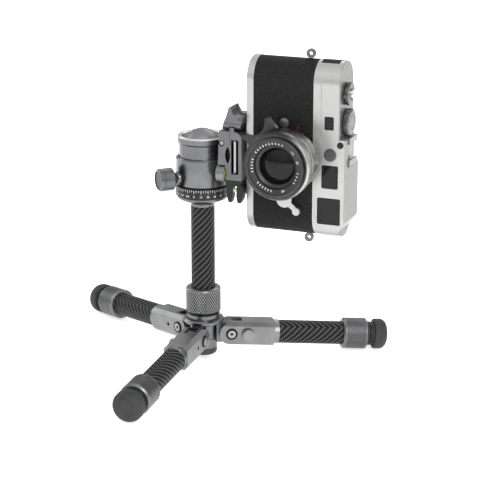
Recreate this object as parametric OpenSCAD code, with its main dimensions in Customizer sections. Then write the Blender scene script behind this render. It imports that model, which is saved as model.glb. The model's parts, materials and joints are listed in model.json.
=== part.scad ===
// Small film camera held sideways by a lever clamp on a ball head, on a low three-legged table stand.
// The stand rests on Z = 0 and the lens looks toward -Y.

/* [Stand] */
// Distance from the column axis to each leg pivot
pivot_r = 22; // [20:0.5:28]
// Height of the leg pivots above the floor
pivot_z = 22.3; // [20:0.1:30]
// Radius of the carbon leg tubes
tube_r = 9.6; // [8:0.1:11]
// Radius of the twist collars on the legs
twist_r = 12.8; // [11.5:0.1:15]
// Distance from a leg pivot to the middle of its rubber foot's rounded end
foot_at = 126; // [110:1:160]
// Radius of the rubber feet
foot_r = 12.5; // [11:0.1:15]
// Radius of the rounding at the end of each foot
foot_round = 6; // [3:0.5:7]
// Radius of the sliding centre column
column_r = 9.65; // [8:0.05:11]
// Radius of the knurled collar that locks the column
column_collar_r = 14.3; // [13:0.1:18]

/* [Ball head] */
// Height of the middle of the ball
ball_z = 179.2; // [170:0.1:200]
// Radius of the ball
ball_r = 15; // [12:0.5:18]
// Radius of the head housing
head_r = 21.2; // [20:0.1:21.5]
// Radius of the graduated ring under the housing
scale_r = 21.7; // [21:0.1:22]
// Radius of the main lock knob
main_knob_r = 12.5; // [9:0.5:14]
// Radius of the pan lock knob
pan_knob_r = 9.15; // [7:0.05:11]

/* [Clamp] */
// Half the width of the dovetail plate under the camera
dovetail_half = 19; // [17:0.5:22]
// Height of the dovetail plate's lower end
plate_low = 148; // [140:1:155]
// Height of the dovetail plate's upper end
plate_high = 199.6; // [198:0.1:200]

/* [Camera] */
// Distance from the column axis to the camera's base
base_x = 44.2; // [44:0.1:50]
// Length of the camera body
camera_len = 139; // [130:1:150]
// Depth of the camera body without the lens
camera_deep = 34; // [30:0.5:40]
// Height of the middle of the camera body
camera_z = 187.1; // [180:0.1:200]
// Height of the base plate, measured away from the base
base_deep = 5.8; // [4:0.1:8]
// Height of the leather band, measured away from the base plate
wrap_deep = 48.9; // [44:0.1:54]
// Height of the lower deck, measured away from the leather band
deck_deep = 21.1; // [18:0.1:25]
// Extra height of the raised finder deck
finder_rise = 5; // [3:0.1:7]

/* [Lens] */
// Distance from the column axis to the lens axis
lens_x = 80; // [78:0.1:84]
// Height of the lens axis
lens_z = 180.8; // [175:0.1:190]
// Radius of the aperture ring, the widest part of the lens
aperture_r = 26.5; // [25:0.1:28]
// Radius of the focus ring
focus_r = 25.2; // [24:0.1:26]
// Distance the lens reaches in front of the middle of the body
lens_reach = 52; // [48:0.5:60]

/* [Hidden] */
$fn = 64;

leg_angles = [30, 150, 270];
foot_core = foot_r - foot_round;
pitch = asin((pivot_z - foot_round) / norm([foot_at, foot_core])) - atan2(foot_core, foot_at);
lean = cos(pitch) / 2;
reach_front = pivot_r + foot_at * cos(pitch) + foot_core * sin(pitch);
reach_back = pivot_r / 2 + foot_at * lean + foot_core * sqrt(1 - lean * lean);
y_shift = (reach_front - reach_back) / 2;

block_end = 36;
tube_start = 40;
tube_end = 112;
twist_start = 94.2;
twist_end = 115.1;
button_at = 13.5;

round_r = camera_deep / 2;
end_low = camera_z - camera_len / 2 + round_r;
end_high = camera_z + camera_len / 2 - round_r;
wrap_x = base_x + base_deep;
deck_x = wrap_x + wrap_deep;
top_x = deck_x + deck_deep;
finder_x = top_x + finder_rise;
wrap_r = round_r - 0.15;
door_in = 13.5;
hinge_y = (door_in + wrap_r) / 2;
hinge_r = (wrap_r - door_in) / 2;
hinge_z = end_high - 0.4 - hinge_r;

lever_y = -5;
lever_z = 205.5;

metal = "#77797c";
dark = "#3b3c3f";
black = "#1d1d1f";
carbon = "#26272a";
rubber = "#333436";
silver = "#c9cacb";
steel = "#a7a9ab";

module placed() {
    translate([0, y_shift, 0]) children();
}

module leg_frame(a) {
    placed() rotate([0, 0, a]) translate([pivot_r, 0, pivot_z]) rotate([0, pitch, 0]) children();
}

module box(x0, x1, y0, y1, z0, z1) {
    translate([x0, y0, z0]) cube([x1 - x0, y1 - y0, z1 - z0]);
}

module rod_x(r, x0, x1, y = 0, z = 0) {
    translate([x0, y, z]) rotate([0, 90, 0]) cylinder(r = r, h = x1 - x0);
}

module rod_y(r, y0, y1, x = 0, z = 0) {
    translate([x, y1, z]) rotate([90, 0, 0]) cylinder(r = r, h = y1 - y0);
}

module rod_z(r, z0, z1, x = 0, y = 0) {
    translate([x, y, z0]) cylinder(r = r, h = z1 - z0);
}

module slab_x(x0, x1) {
    translate([x0, 0, 0]) rotate([90, 0, 90]) linear_extrude(x1 - x0) children();
}

module slab_y(y0, y1) {
    translate([0, y1, 0]) rotate([90, 0, 0]) linear_extrude(y1 - y0) children();
}

module slab_z(z0, z1) {
    translate([0, 0, z0]) linear_extrude(z1 - z0) children();
}

module turn_x(points, y = 0, z = 0) {
    translate([0, y, z]) rotate([0, 90, 0]) rotate_extrude() polygon(points);
}

module turn_z(points) {
    rotate_extrude() polygon(points);
}

// Turned on an axis toward -Y; each point is a radius and a distance in front of the middle of the body
module turn_lens(points, x = lens_x, z = lens_z) {
    translate([x, 0, z]) rotate([90, 0, 0]) rotate_extrude() polygon(points);
}

// Ring of round section about the X axis
module bead_x(r, section, x) {
    translate([x, 0, 0]) rotate([0, 90, 0]) rotate_extrude() translate([r, 0]) circle(section);
}

// Body outline with half-round ends, of half depth r
module body_outline(r) {
    translate([-r, end_low]) square([2 * r, end_high - end_low]);
    translate([0, end_low]) circle(r);
    translate([0, end_high]) circle(r);
}

// Rectangle with true round corners
module soft_rect(x0, x1, z0, z1, r) {
    translate([x0 + r, z0]) square([x1 - x0 - 2 * r, z1 - z0]);
    translate([x0, z0 + r]) square([x1 - x0, z1 - z0 - 2 * r]);
    for (x = [x0 + r, x1 - r]) {
        for (z = [z0 + r, z1 - r]) {
            translate([x, z]) circle(r);
        }
    }
}

// ---- Stand ----

module hub() {
    color(metal) placed() difference() {
        union() {
            turn_z([
                [0, 10.6], [11.1, 10.6], [11.1, 18.4], [10.8, 18.7], [11.1, 19], [11.1, 31.9], [15.6, 31.9],
                [16.7, 33], [16.7, 34.9], [15.7, 35.9], [13.4, 35.9], [13.4, 39.6], [12, 39.6], [12, 57.9], [11.4, 58.5], [0, 58.5]
            ]);
            for (a = leg_angles) {
                rotate([0, 0, a]) box(8, pivot_r, -4, 4, pivot_z - 8.4, pivot_z + 8.4);
                rotate([0, 0, a]) rod_y(8.4, -4, 4, pivot_r, pivot_z);
                rotate([0, 0, a]) box(8, 15, -4, 4, pivot_z, 33);
            }
        }
        rod_z(column_r + 0.1, 0, 60);
        for (a = leg_angles) {
            rotate([0, 0, a]) rod_y(2.55, -6, 6, pivot_r, pivot_z);
        }
    }
}

module bottom_cap() {
    color(black) placed() difference() {
        turn_z([[0, 5], [9.8, 5], [11, 6.2], [11, 10.5], [0, 10.5]]);
        rod_z(3.175, 4, 12);
    }
}

module leg_pivot_bolts() {
    color(dark) placed() for (a = leg_angles) {
        rotate([0, 0, a]) rod_y(2.5, -10, 10, pivot_r, pivot_z);
        rotate([0, 0, a]) difference() {
            rod_y(4.6, -11, -9.9, pivot_r, pivot_z);
            translate([pivot_r, -10.4, pivot_z]) rotate([90, 0, 0]) cylinder(r = 2, h = 2, $fn = 6);
        }
        rotate([0, 0, a]) difference() {
            rod_y(4.6, 9.9, 11, pivot_r, pivot_z);
            translate([pivot_r, 12.4, pivot_z]) rotate([90, 0, 0]) cylinder(r = 2, h = 2, $fn = 6);
        }
    }
}

module leg_block(a) {
    color(metal) leg_frame(a) difference() {
        union() {
            intersection() {
                slab_x(-12, block_end) polygon([
                    [-10.2, -6.8], [-7.2, -9.8], [7.2, -9.8], [10.2, -6.8], [10.2, 6.8], [7.2, 9.8], [-7.2, 9.8], [-10.2, 6.8]
                ]);
                union() {
                    rod_y(9.8, -11, 11);
                    box(0, block_end, -11, 11, -11, 11);
                }
            }
            rod_x(9.9, block_end, tube_start);
            rod_x(7.95, tube_start, tube_start + 13);
        }
        box(-12, 9, -4.3, 4.3, -12, 12);
        rod_y(2.6, -12, 12);
        rod_y(4.9, -12, -9.5);
        rod_y(4.9, 9.5, 12);
        rod_y(3.1, -12, -2.4, button_at);
        rod_y(1.6, 7.5, 12, button_at);
        rod_x(5, tube_start - 14, tube_start + 14);
    }
}

module leg_tube(a) {
    color(carbon) leg_frame(a) difference() {
        rod_x(tube_r, tube_start, tube_end);
        rod_x(8, tube_start - 1, tube_end + 1);
    }
}

module leg_button(a) {
    color(steel) leg_frame(a) union() {
        rod_y(3, -12.2, -4.4, button_at);
        rod_y(5, -13.6, -12, button_at);
        rod_y(4.4, -14.2, -13.5, button_at);
    }
}

module leg_collar(a) {
    color(metal) leg_frame(a) turn_x([
        [9.7, twist_start], [11.6, twist_start], [twist_r, twist_start + 1.2], [twist_r, twist_end - 1.2], [11.6, twist_end],
        [8.1, twist_end], [8.1, tube_end + 0.4], [9.7, tube_end + 0.4]
    ]);
}

module leg_extension(a) {
    color(dark) leg_frame(a) turn_x([
        [6.3, 56], [7.9, 56], [7.9, 115.5], [10, 115.5], [10, 116.6], [9.4, 117], [10, 117.4], [10, 118.4], [9.4, 118.8],
        [9.4, 119.6], [6, 119.6], [6, 128], [0, 128], [0, 117], [6.3, 117]
    ]);
}

module leg_foot(a) {
    color(rubber) leg_frame(a) difference() {
        union() {
            rod_x(9.6, 119.7, 122);
            rod_x(11, 120.7, 123);
            bead_x(11, 1.5, 122.2);
            rod_x(foot_r, 122.2, foot_at);
            bead_x(foot_core, foot_round, foot_at);
            rod_x(foot_core, foot_at, foot_at + foot_round);
        }
        rod_x(6.05, 119, 128.2);
    }
}

module right_leg_block() {
    leg_block(leg_angles[0]);
}

module right_leg_tube() {
    leg_tube(leg_angles[0]);
}

module right_leg_button() {
    leg_button(leg_angles[0]);
}

module right_leg_collar() {
    leg_collar(leg_angles[0]);
}

module right_leg_extension() {
    leg_extension(leg_angles[0]);
}

module right_leg_foot() {
    leg_foot(leg_angles[0]);
}

module left_leg_block() {
    leg_block(leg_angles[1]);
}

module left_leg_tube() {
    leg_tube(leg_angles[1]);
}

module left_leg_button() {
    leg_button(leg_angles[1]);
}

module left_leg_collar() {
    leg_collar(leg_angles[1]);
}

module left_leg_extension() {
    leg_extension(leg_angles[1]);
}

module left_leg_foot() {
    leg_foot(leg_angles[1]);
}

module front_leg_block() {
    leg_block(leg_angles[2]);
}

module front_leg_tube() {
    leg_tube(leg_angles[2]);
}

module front_leg_button() {
    leg_button(leg_angles[2]);
}

module front_leg_collar() {
    leg_collar(leg_angles[2]);
}

module front_leg_extension() {
    leg_extension(leg_angles[2]);
}

module front_leg_foot() {
    leg_foot(leg_angles[2]);
}

module column_collar() {
    color(metal) placed() turn_z([
        [12.1, 39.9], [13.3, 39.9], [column_collar_r, 41.2], [column_collar_r, 60.4], [12.9, 62],
        [column_r + 0.3, 62], [column_r + 0.3, 59], [12.1, 59]
    ]);
}

module column_tube() {
    color(carbon) placed() difference() {
        rod_z(column_r, 11.6, 131);
        rod_z(8.2, 11, 132);
    }
}

// ---- Ball head ----

module pan_base() {
    color(metal) placed() turn_z([
        [0, 116], [8.1, 116], [8.1, 131], [9.8, 131], [9.8, 132.6], [19.6, 137.4], [20.6, 138.4], [20.6, 139.7],
        [9, 139.7], [9, 157], [0, 157]
    ]);
}

module scale_ring() {
    color(black) placed() turn_z([
        [9.1, 139.9], [scale_r - 0.5, 139.9], [scale_r, 140.4], [scale_r, 148.5], [scale_r - 0.5, 149], [9.1, 149]
    ]);
}

module ball_slot() {
    box(0, 26, -7, 7, ball_z, 200);
    rod_x(7, 0, 26, 0, ball_z);
}

module head_housing() {
    color(metal) placed() difference() {
        union() {
            turn_z([
                [0, 149.4], [head_r - 0.5, 149.4], [head_r, 149.9], [head_r, 170.8], [head_r - 1.2, 172], [18.6, 172],
                [18.6, 182.6], [17.8, 182.6], [17.8, 183], [0, 183]
            ]);
            rod_y(7.6, 15, 24.2, 0, 160);
            rotate([0, 0, 225]) turn_x([[0, 16], [5.5, 16], [5.5, 21.7], [4.4, 23.5], [0, 23.5]], 0, 155);
        }
        rod_z(9.1, 149, 158.2);
        translate([0, 0, ball_z]) sphere(ball_r + 0.3);
        ball_slot();
        rod_y(4.1, 10.6, 30, 0, 160);
        rotate([0, 0, 225]) rod_x(2.6, 8, 30, 0, 155);
    }
}

module top_ring() {
    color(metal) placed() difference() {
        turn_z([[0, 183], [19, 183], [19.8, 183.8], [19.8, 188.3], [19, 189.1], [17.4, 189.1], [14, 185.4], [0, 185.4]]);
        translate([0, 0, ball_z]) sphere(ball_r + 0.3);
        ball_slot();
    }
}

module main_knob() {
    color(metal) placed() translate([0, 0, 160]) rotate([-90, 0, 0]) rotate_extrude() polygon([
        [0, 10.8], [4, 10.8], [4, 24.6], [7, 24.6], [7, 26.4], [main_knob_r - 1, 26.4], [main_knob_r, 27.4],
        [main_knob_r, 43.4], [main_knob_r - 1.4, 45], [0, 45]
    ]);
}

module pan_knob() {
    color(metal) placed() rotate([0, 0, 225]) turn_x([
        [0, 9.3], [2.5, 9.3], [2.5, 23.7], [4.4, 23.7], [5.2, 26], [pan_knob_r - 0.8, 26], [pan_knob_r, 26.8],
        [pan_knob_r, 37], [pan_knob_r - 1.2, 38.2], [0, 38.2]
    ], 0, 155);
}

module ball() {
    color(silver) placed() difference() {
        translate([0, 0, ball_z]) rotate([0, 90, 0]) sphere(ball_r);
        rod_x(6.4, 9, 16, 0, ball_z);
    }
}

module clamp_neck() {
    color(metal) placed() union() {
        rod_x(6.3, 9.2, 22, 0, ball_z);
        rod_x(8.6, 21.5, 22.4, 0, ball_z);
    }
}

// ---- Clamp ----

// Section of the dovetail plate, grown by g on its sliding faces
module dovetail(g) {
    polygon([
        [37.9 - g, -dovetail_half - g], [39.4 + g / 2, -dovetail_half - g], [41.8 + g / 2, 2.4 - dovetail_half - g],
        [base_x + g * 9, 2.4 - dovetail_half - g], [base_x + g * 9, dovetail_half - 2.4 + g],
        [41.8 + g / 2, dovetail_half - 2.4 + g], [39.4 + g / 2, dovetail_half + g], [37.9 - g, dovetail_half + g]
    ]);
}

module clamp_body() {
    color(metal) placed() difference() {
        union() {
            slab_y(-16.5, 21.5) polygon([
                [22.4, 160], [24, 157.6], [37.6, 157.6], [37.6, 199.4], [25, 199.4], [22.4, 196.5]
            ]);
            slab_y(15, 24.6) polygon([
                [24, 163], [27, 158.6], [42.4, 158.6], [43.4, 159.6], [43.4, 198.4], [42.4, 199.4], [27, 199.4], [24, 195]
            ]);
            box(33.1, 36.9, lever_y - 4.8, lever_y + 4.8, 199, lever_z);
            rod_x(4.8, 33.1, 36.9, lever_y, lever_z);
            rod_x(6.9, 22.4, 29.3, -21, 164.8);
        }
        slab_z(150, 210) dovetail(0.15);
        rod_x(5.9, 24.2, 30, -21, 164.8);
        rod_x(1.55, 30, 40, lever_y, lever_z);
        for (z = [178, 192]) {
            rod_y(2.1, -17, -6, 28, z);
        }
        box(30.5, 33, -20, 30, 162, 195);
    }
}

module bubble_level() {
    color("#7fae3c") placed() union() {
        rod_x(5.8, 24.2, 28.6, -21, 164.8);
        rod_x(4.6, 28, 29.2, -21, 164.8);
    }
}

module clamp_jaw() {
    color(metal) placed() difference() {
        union() {
            slab_y(-25, -16.8) polygon([
                [23.4, 172.2], [24.5, 199.4], [33.1, 199.4], [33.1, 202.6], [36.9, 202.6], [36.9, 199.4], [37.6, 199.4],
                [40.2, 198.6], [43.2, 195.2], [43.4, 164], [42.2, 156], [29.9, 156], [29.7, 172.2]
            ]);
            slab_y(-25, -19.6) polygon([
                [30.4, 157], [30.8, 148], [32.2, 142.8], [34.6, 142.4], [35.9, 147], [36.2, 157]
            ]);
            slab_y(-25, -19.6) polygon([
                [39.2, 157], [38.8, 148], [39.8, 142.8], [42.2, 142.4], [44.2, 146.5], [45.4, 152], [43, 157]
            ]);
            rod_x(1.3, 34, 40, -22.3, 152.4);
            for (z = [178, 192]) {
                rod_y(2, -17, -8.5, 28, z);
            }
        }
        slab_z(140, 210) dovetail(0.15);
        difference() {
            slab_y(-26, -21.5) soft_rect(34.8, 40.4, 165.6, 192.6, 2.7);
            slab_y(-26, -20) soft_rect(36.2, 38.7, 164, 194, 1);
        }
        slab_y(-26, -24.2) soft_rect(36.1, 38.8, 167, 191.4, 1.1);
        intersection() {
            rod_y(12, -26, -22.6, 41.6, 180.4);
            rod_y(12, -26, -22.6, 21.8, 180.4);
        }
        rod_y(2.6, -26, -24.4, 26.4, 189.4);
        rod_y(1.3, -26, -23.4, 26.4, 189.4);
        box(33.4, 33.8, -26, -24.5, 188.6, 203);
    }
}

module clamp_lever() {
    color(metal) placed() difference() {
        union() {
            intersection() {
                slab_x(26, 43.6) union() {
                    translate([-20, 200.2]) square([20 + lever_y, 12]);
                    translate([lever_y, lever_z]) circle(5.3);
                    translate([-20, 204.8]) circle(4.6);
                    translate([-20, 207.6]) circle(4.6);
                }
                slab_y(-26, 2) polygon([
                    [26.2, 200.2], [41, 200.2], [43.6, 208], [43.6, 212.2], [31, 212.2], [28.4, 207]
                ]);
            }
            slab_y(-24.6, -9) polygon([
                [29.4, 208], [30.4, 211.6], [32.4, 218.2], [34.4, 219], [35.6, 216.2], [37.4, 213.6], [40.4, 211.9], [40.4, 208]
            ]);
            rod_x(1.5, 30, 40, lever_y, lever_z);
        }
        difference() {
            box(32.8, 37.2, -10.8, 3, 199, 214);
            rod_x(1.5, 30, 40, lever_y, lever_z);
        }
        box(32.8, 37.2, -27, -9, 199, 203.4);
        rod_y(7, -26, -13, 41.6, 217.6);
    }
}

module camera_plate() {
    color(dark) placed() intersection() {
        slab_z(plate_low, plate_high) dovetail(0);
        slab_x(36, base_x + 1) polygon([
            [-20, plate_low + 5], [-15, plate_low], [15, plate_low], [20, plate_low + 5],
            [20, plate_high - 5], [15, plate_high], [-15, plate_high], [-20, plate_high - 5]
        ]);
        box(36, base_x, -25, 25, plate_low, plate_high);
    }
}

// ---- Camera ----

// Everything the back door takes the place of
module door_room(x0, x1) {
    box(x0, x1, 1, 20, 100, end_high);
}

module chassis() {
    color(dark) placed() difference() {
        union() {
            difference() {
                slab_x(wrap_x + 0.1, deck_x) body_outline(15.9);
                slab_x(wrap_x + 1.6, deck_x - 1.6) body_outline(14);
                door_room(wrap_x - 1, deck_x + 1);
            }
            for (x = [wrap_x + 0.1, deck_x - 1.6]) {
                slab_x(x, x + 1.6) body_outline(door_in - 0.3);
            }
            for (x = [wrap_x + 0.1, deck_x - 0.9]) {
                box(x, x + 0.8, 12, 16.2, hinge_z - 1.2, end_high);
            }
            rod_x(0.6, wrap_x + 0.2, deck_x - 0.1, hinge_y, hinge_z);
            box(wrap_x + 1, deck_x - 1, 8.6, 10.2, 149.5, 229);
            for (z = [149.5, 227.4]) {
                box(wrap_x + 1, deck_x - 1, -15, 7.4, z, z + 1.6);
            }
        }
        rod_y(18, -20, -10, lens_x, lens_z);
        rod_y(2.5, -20, -10, 76.9, 209.1);
        box(lens_x - 12.5, lens_x + 11.5, 8, 11, lens_z - 18, lens_z + 18);
        box(wrap_x + 2, deck_x - 2, 3, 7, 226, 230);
    }
}

module body_wrap() {
    color(black) placed() difference() {
        slab_x(wrap_x + 0.1, deck_x - 0.1) body_outline(wrap_r);
        slab_x(wrap_x - 1, deck_x + 1) body_outline(15.95);
        door_room(wrap_x - 1, deck_x + 1);
        rod_y(23.1, -20, -10, lens_x, lens_z);
        rod_y(4.2, -20, -10, 76.9, 209.1);
        rod_y(1.05, -20, -10, 87.6, 205.6);
        rod_z(1.1, 116, 258, 91, 0);
    }
}

module base_plate() {
    color(silver) placed() union() {
        difference() {
            union() {
                slab_x(base_x + 0.6, wrap_x) body_outline(round_r);
                slab_x(base_x, base_x + 1) body_outline(round_r - 0.5);
            }
            slab_x(base_x + 2, wrap_x + 1) body_outline(round_r - 1.8);
        }
        rod_x(9, base_x - 0.6, base_x + 1, 0, 238);
        box(base_x - 1.2, base_x, -1.2, 1.2, 231, 245);
    }
}

module finder_block(x0, x1, low, high, r) {
    intersection() {
        slab_x(x0, x1) body_outline(r);
        slab_y(-20, 20) polygon([[x0, low - 2], [top_x, low], [x1, low + 7], [x1, high], [x0, high]]);
    }
}

module top_plate() {
    color(silver) placed() difference() {
        union() {
            slab_x(deck_x, top_x - 0.6) body_outline(round_r);
            slab_x(top_x - 1, top_x) body_outline(round_r - 0.5);
            finder_block(top_x - 2, finder_x - 0.5, 124.6, 198, round_r);
            finder_block(top_x - 2, finder_x, 125.6, 197.6, round_r - 0.5);
            rod_x(5.6, top_x - 1, top_x + 2.4, 0, 231.2);
            rod_y(8, 15, 18.6, 112, 138);
        }
        slab_x(deck_x - 1, top_x - 1.8) body_outline(round_r - 1.7);
        finder_block(deck_x + 10, finder_x - 1.8, 132, 172, round_r - 1.7);
        // Windows and round front features
        slab_y(-20, -12) soft_rect(108, 115.5, 205.3, 215.8, 1);
        slab_y(-20, -12) soft_rect(106.1, 119.5, 159.1, 177.6, 1.2);
        slab_y(-20, -12) soft_rect(102.8, 121.6, 130.2, 151.6, 1.4);
        rod_y(23.1, -20, -10, lens_x, lens_z);
        rod_y(5.05, -20, -16.4, 112.9, 185.9);
        rod_y(2.6, -20, -15.8, 120.9, 194.1);
        rod_y(6, 12, 20, 112, 138);
        // Pocket for the accessory shoe
        box(top_x + 1.2, finder_x + 1, -9.6, 20, 175.2, 200);
        // Bores of the shutter release and the speed dial
        rod_x(3.1, top_x - 4, top_x + 4, 0, 231.2);
        rod_x(2.6, top_x - 4, top_x + 1, 0, 209.1);
        // Cover seam
        slab_y(-20, -16.8) polygon([
            [105.2, 280], [105.2, 201], [100.9, 197], [100.9, 100], [101.3, 100], [101.3, 196.8], [105.6, 200.8], [105.6, 280]
        ]);
        // Recessed end panels
        box(101.2, 116.4, 3, 15, 250, 280);
        box(101.2, 116.4, 3, 15, 100, 124);
    }
    color(dark) placed() for (z = [end_low, end_high]) {
        intersection() {
            slab_x(101.2, 116.4) difference() {
                translate([0, z]) circle(round_r - 0.5);
                translate([0, z]) circle(round_r - 2.2);
            }
            box(101.2, 116.4, 3, 15, 100, 280);
            union() {
                box(101, 117, 2, 16, 249, 280);
                box(101, 117, 2, 16, 100, 125);
            }
        }
    }
}

module accessory_shoe() {
    color(steel) placed() difference() {
        union() {
            box(121.25, 124.7, -9, 10, camera_z - 10.9, camera_z + 10.9);
            box(124.6, 126.1, -9, 10, camera_z - 10.9, camera_z + 10.9);
        }
        box(122.4, 124.7, -7.6, 12, camera_z - 9.33, camera_z + 9.33);
        box(124, 127, -10, 12, camera_z - 6.3, camera_z + 6.3);
    }
}

module window_glasses() {
    color("#15161a") placed() union() {
        slab_y(-16.6, -15.6) soft_rect(108.1, 115.4, 205.4, 215.7, 1);
        slab_y(-16.6, -15.6) soft_rect(106.2, 119.4, 159.2, 177.5, 1.2);
        slab_y(-16.6, -15.6) soft_rect(102.9, 121.5, 130.3, 151.5, 1.4);
        rod_y(2.5, -17.4, -16, 120.9, 194.1);
        rod_y(5.9, 16, 17.4, 112, 138);
    }
}

module front_badge() {
    color(dark) placed() union() {
        rod_y(5, -17.5, -16.5, 112.9, 185.9);
        rod_y(4.2, -17.8, -17.4, 112.9, 185.9);
    }
}

module lens_flange() {
    color(silver) placed() difference() {
        union() {
            turn_lens([[0, 15.9], [23, 15.9], [23, 19.2], [22.4, 19.8], [23.8, 20.2], [23.8, 21.8], [0, 21.8]]);
            rod_y(1, -20, -15.9, 87.6, 205.6);
        }
        rod_y(17.4, -30, -10, lens_x, lens_z);
    }
}

module strap_lug(z0, z1) {
    difference() {
        union() {
            rod_y(3.7, -1.2, 1.2, 91, z1);
            rod_z(1.05, min(z0, z1), max(z0, z1), 91, 0);
        }
        rod_y(1.5, -3, 3, 91, z1);
    }
}

module strap_lugs() {
    color(silver) placed() union() {
        strap_lug(255.5, 260.4);
        strap_lug(118.7, 113.8);
    }
}

module film_cassette() {
    color(steel) placed() union() {
        rod_x(12.3, 56, 97, 0, end_low);
        rod_x(6, 52, 57, 0, end_low);
        box(58.5, 94.5, 6, 12, end_low + 3, end_low + 14);
    }
}

module shutter_blind() {
    color(black) placed() union() {
        box(64.5, 95.5, 7.7, 8.3, 160, 201);
        box(64.5, 95.5, 7.1, 8.3, 160, 161.6);
    }
}

module takeup_spool() {
    color(black) placed() difference() {
        turn_x([[0, 52], [6.8, 52], [6.8, 53.4], [5, 53.4], [5, 95.6], [6.8, 95.6], [6.8, 97], [0, 97]], 0, end_high);
        box(60, 92, -0.8, 0.8, end_high - 8, end_high + 8);
    }
}

module back_door() {
    color(black) placed() difference() {
        union() {
            box(wrap_x + 0.4, deck_x - 0.4, door_in, wrap_r, end_low, hinge_z - 2);
            box(wrap_x + 1.2, deck_x - 1.2, door_in, wrap_r, end_low, hinge_z);
            rod_x(hinge_r, wrap_x + 1.2, deck_x - 1.2, hinge_y, hinge_z);
            intersection() {
                slab_x(wrap_x + 0.4, deck_x - 0.4) difference() {
                    translate([0, end_low]) circle(wrap_r);
                    translate([0, end_low]) circle(door_in);
                }
                box(wrap_x, deck_x, 1.3, 20, 100, end_low + 0.1);
            }
        }
        rod_x(0.68, wrap_x, deck_x, hinge_y, hinge_z);
    }
}

module pressure_plate() {
    color(steel) placed() union() {
        box(61, 97, 10.6, 11.8, 152, 210);
        box(72, 86, 11.7, door_in, 172, 190);
    }
}

module release_button() {
    color(silver) placed() turn_x([
        [0, top_x - 2.4], [3, top_x - 2.4], [3, top_x + 3.8], [4.3, top_x + 3.8], [4.3, top_x + 6], [3.6, top_x + 6.6],
        [1.4, top_x + 6.6], [1, top_x + 6], [0, top_x + 6]
    ], 0, 231.2);
}

module drive_collar() {
    color(silver) placed() union() {
        turn_x([
            [5.75, top_x + 0.3], [8.2, top_x + 0.3], [8.8, top_x + 0.9], [8.8, top_x + 3.4], [8.2, top_x + 4], [4.6, top_x + 4],
            [4.6, top_x + 2.8], [5.75, top_x + 2.8]
        ], 0, 231.2);
        box(top_x + 0.5, top_x + 2.4, -11.2, -7.5, 230, 232.4);
    }
}

module speed_dial() {
    color(silver) placed() turn_x([
        [0, top_x - 2.4], [2.5, top_x - 2.4], [2.5, top_x + 0.3], [10, top_x + 0.3], [10.6, top_x + 0.9],
        [10.6, top_x + 3.9], [9.6, top_x + 4.8], [0, top_x + 4.8]
    ], 0, 209.1);
}

module frame_lever() {
    color(silver) placed() union() {
        rod_y(5.6, -19.6, -17.3, 77, 148);
        rod_y(6.3, -20.8, -19.5, 77, 148);
        translate([77, 0, 148]) rotate([0, 39.2, 0]) box(0, 13.2, -20.6, -18.6, -2, 2);
        rod_y(3, -22.4, -18.6, 87.3, 139.6);
    }
}

module lens_release() {
    color(silver) placed() union() {
        rod_y(3.8, -21.4, -17.8, 76.9, 209.1);
        rod_y(2.4, -18, -14.6, 76.9, 209.1);
    }
}

// ---- Lens ----

module focus_ring() {
    color(silver) placed() difference() {
        union() {
            turn_lens([[18, 22.1], [24.2, 22.1], [focus_r, 23], [focus_r, 33], [24.4, 33.8], [18, 33.8]]);
            translate([lens_x, 0, lens_z]) rotate([0, -131, 0]) slab_y(-33, -28.4) intersection() {
                translate([23, -13.5]) square([13.4, 27]);
                circle(36.4);
            }
        }
        translate([lens_x, 0, lens_z]) rotate([0, -131, 0]) rod_y(11.6, -35, -28, 40.2, 0);
    }
}

module lens_barrel() {
    color(black) placed() difference() {
        turn_lens([[14.4, 23], [17.9, 23], [17.9, 34.1], [24, 34.1], [24, 37.6], [22.4, 37.6], [22.4, 49.2], [14.4, 49.2]]);
        turn_lens([[14, 40], [20, 40], [20, 50], [14, 50]]);
    }
}

module aperture_ring() {
    color(black) placed() turn_lens([
        [22.5, 37.9], [25.6, 37.9], [aperture_r, 39], [aperture_r, 46.6], [25.2, 48.6], [22.5, 48.6]
    ]);
}

module name_ring() {
    color(black) placed() turn_lens([
        [14.4, 41], [19.9, 41], [19.9, 49.3], [23.2, 49.3], [23.2, 51], [22.2, lens_reach], [21.2, lens_reach], [21.2, 50.6],
        [20.6, 50.6], [17.3, 49.6], [16.6, 47], [14.4, 45.6]
    ]);
}

module lens_glass() {
    color("#20242c") placed() intersection() {
        rod_y(14.3, -48, -36, lens_x, lens_z);
        translate([lens_x, -19, lens_z]) sphere(28);
    }
}

hub();
bottom_cap();
leg_pivot_bolts();
right_leg_block();
right_leg_tube();
right_leg_button();
right_leg_collar();
right_leg_extension();
right_leg_foot();
left_leg_block();
left_leg_tube();
left_leg_button();
left_leg_collar();
left_leg_extension();
left_leg_foot();
front_leg_block();
front_leg_tube();
front_leg_button();
front_leg_collar();
front_leg_extension();
front_leg_foot();
column_collar();
column_tube();
pan_base();
scale_ring();
head_housing();
top_ring();
main_knob();
pan_knob();
ball();
clamp_neck();
clamp_body();
bubble_level();
clamp_jaw();
clamp_lever();
camera_plate();
chassis();
body_wrap();
base_plate();
top_plate();
accessory_shoe();
window_glasses();
front_badge();
lens_flange();
strap_lugs();
film_cassette();
shutter_blind();
takeup_spool();
back_door();
pressure_plate();
release_button();
drive_collar();
speed_dial();
frame_lever();
lens_release();
focus_ring();
lens_barrel();
aperture_ring();
name_ring();
lens_glass();
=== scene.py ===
import json
import math

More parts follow.
